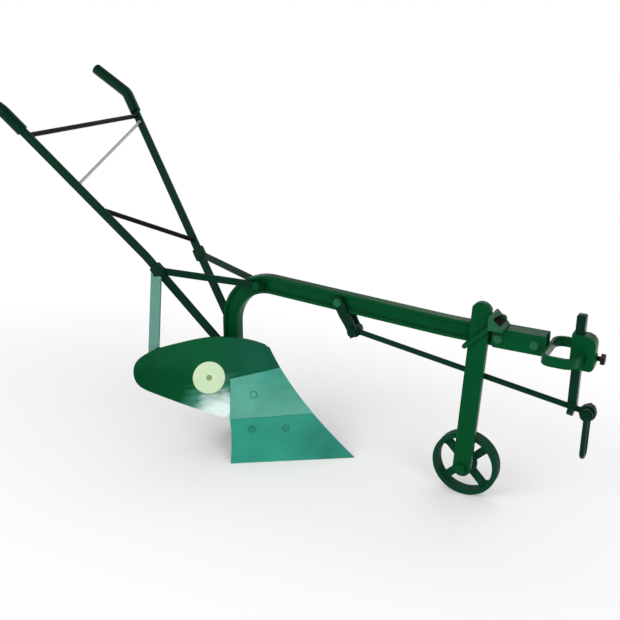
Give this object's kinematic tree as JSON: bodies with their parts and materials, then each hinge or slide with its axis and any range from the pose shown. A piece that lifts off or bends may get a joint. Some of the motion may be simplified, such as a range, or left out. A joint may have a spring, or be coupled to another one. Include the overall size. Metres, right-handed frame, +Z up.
{
  "type": "ox plough",
  "caption": "Animal-drawn mouldboard plough: gooseneck beam, warped mouldboard and share, two braced handles, clamped gauge wheel, and a draught rod set by a sliding hake with a clevis.",
  "frame": {"origin": "middle of the plough's footprint on the ground it stands on", "axes": "+X forward along the beam to the hitch, +Y to the land side (left), +Z up"},
  "size_m": [1.597, 0.5302, 0.9653],
  "materials": {
    "green_paint": "gloss",
    "teal_paint": "gloss",
    "black_paint": "satin",
    "bare_steel": "dull"
  },
  "bodies": {
    "frame": {"beam": "green_paint", "head_cheeks": "green_paint", "head_bolts": "green_paint", "hake_bow": "green_paint", "frog": "green_paint", "neck_bolts": "green_paint", "share": "teal_paint", "shin_plate": "teal_paint", "mouldboard": "green_paint", "landside": "green_paint", "landside_bolts": "green_paint", "handle_right": "green_paint", "handle_left": "green_paint", "handle_bolts": "green_paint", "grip_right": "green_paint", "grip_left": "green_paint", "knuckles": "green_paint", "top_brace": "black_paint", "mid_brace": "black_paint", "tie_rod": "bare_steel", "stay_right": "green_paint", "stay_left": "green_paint", "stay_bolt": "green_paint", "board_stay": "teal_paint", "clamp_hook": "green_paint", "clamp_plate": "green_paint", "clamp_nuts": "black_paint", "hanger_straps": "green_paint", "hanger_bolt": "green_paint"},
    "wheel_carriage": {"wheel_standard": "green_paint", "axle_bolt": "black_paint", "axle_washers": "black_paint"},
    "wheel": {"wheel": "green_paint"},
    "hake_clip": {"hake_clip": "green_paint", "set_bolt": "black_paint"},
    "hake_bar": {"hake_bar": "green_paint"},
    "rod_pin": {"hanger_pin": "black_paint"},
    "draft_rod": {"draft_rod": "green_paint"},
    "clevis": {"clevis": "black_paint", "clevis_pin": "black_paint"}
  },
  "joints": [
    {"name": "wheel_height", "type": "slide", "parent": "frame", "child": "wheel_carriage", "axis": [0.0523, 0, 0.9986], "range_m": [-0.03, 0.11]},
    {"name": "wheel_spin", "type": "hinge", "parent": "wheel_carriage", "child": "wheel", "pos_m": [0.49925, 0.02629, 0.083], "axis": [0, 1, 0], "continuous": true},
    {"name": "hake_swing", "type": "hinge", "parent": "frame", "child": "hake_clip", "pos_m": [0.60825, 0.02629, 0.42], "axis": [0, 0, 1], "range_deg": [-3.5, 10]},
    {"name": "hake_slide", "type": "slide", "parent": "hake_clip", "child": "hake_bar", "axis": [0, 0, 1], "range_m": [-0.04, 0.04]},
    {"name": "rod_yaw", "type": "hinge", "parent": "frame", "child": "rod_pin", "pos_m": [0.19025, 0.02629, 0.375], "axis": [0, 0, 1], "range_deg": [-0.9, 2.45]},
    {"name": "rod_pitch", "type": "hinge", "parent": "rod_pin", "child": "draft_rod", "pos_m": [0.19025, 0.02629, 0.375], "axis": [0, -1, 0], "range_deg": [-4.2, 4.2]},
    {"name": "clevis_swing", "type": "hinge", "parent": "draft_rod", "child": "clevis", "pos_m": [0.77525, 0.02629, 0.287], "axis": [0, -1, 0], "range_deg": [-30, 110]}
  ],
  "couplings": [
    {"joint": "rod_yaw", "follows": "hake_swing", "ratio": 0.2389},
    {"joint": "rod_pitch", "follows": "hake_slide", "rad_per_m": 1.777}
  ]
}
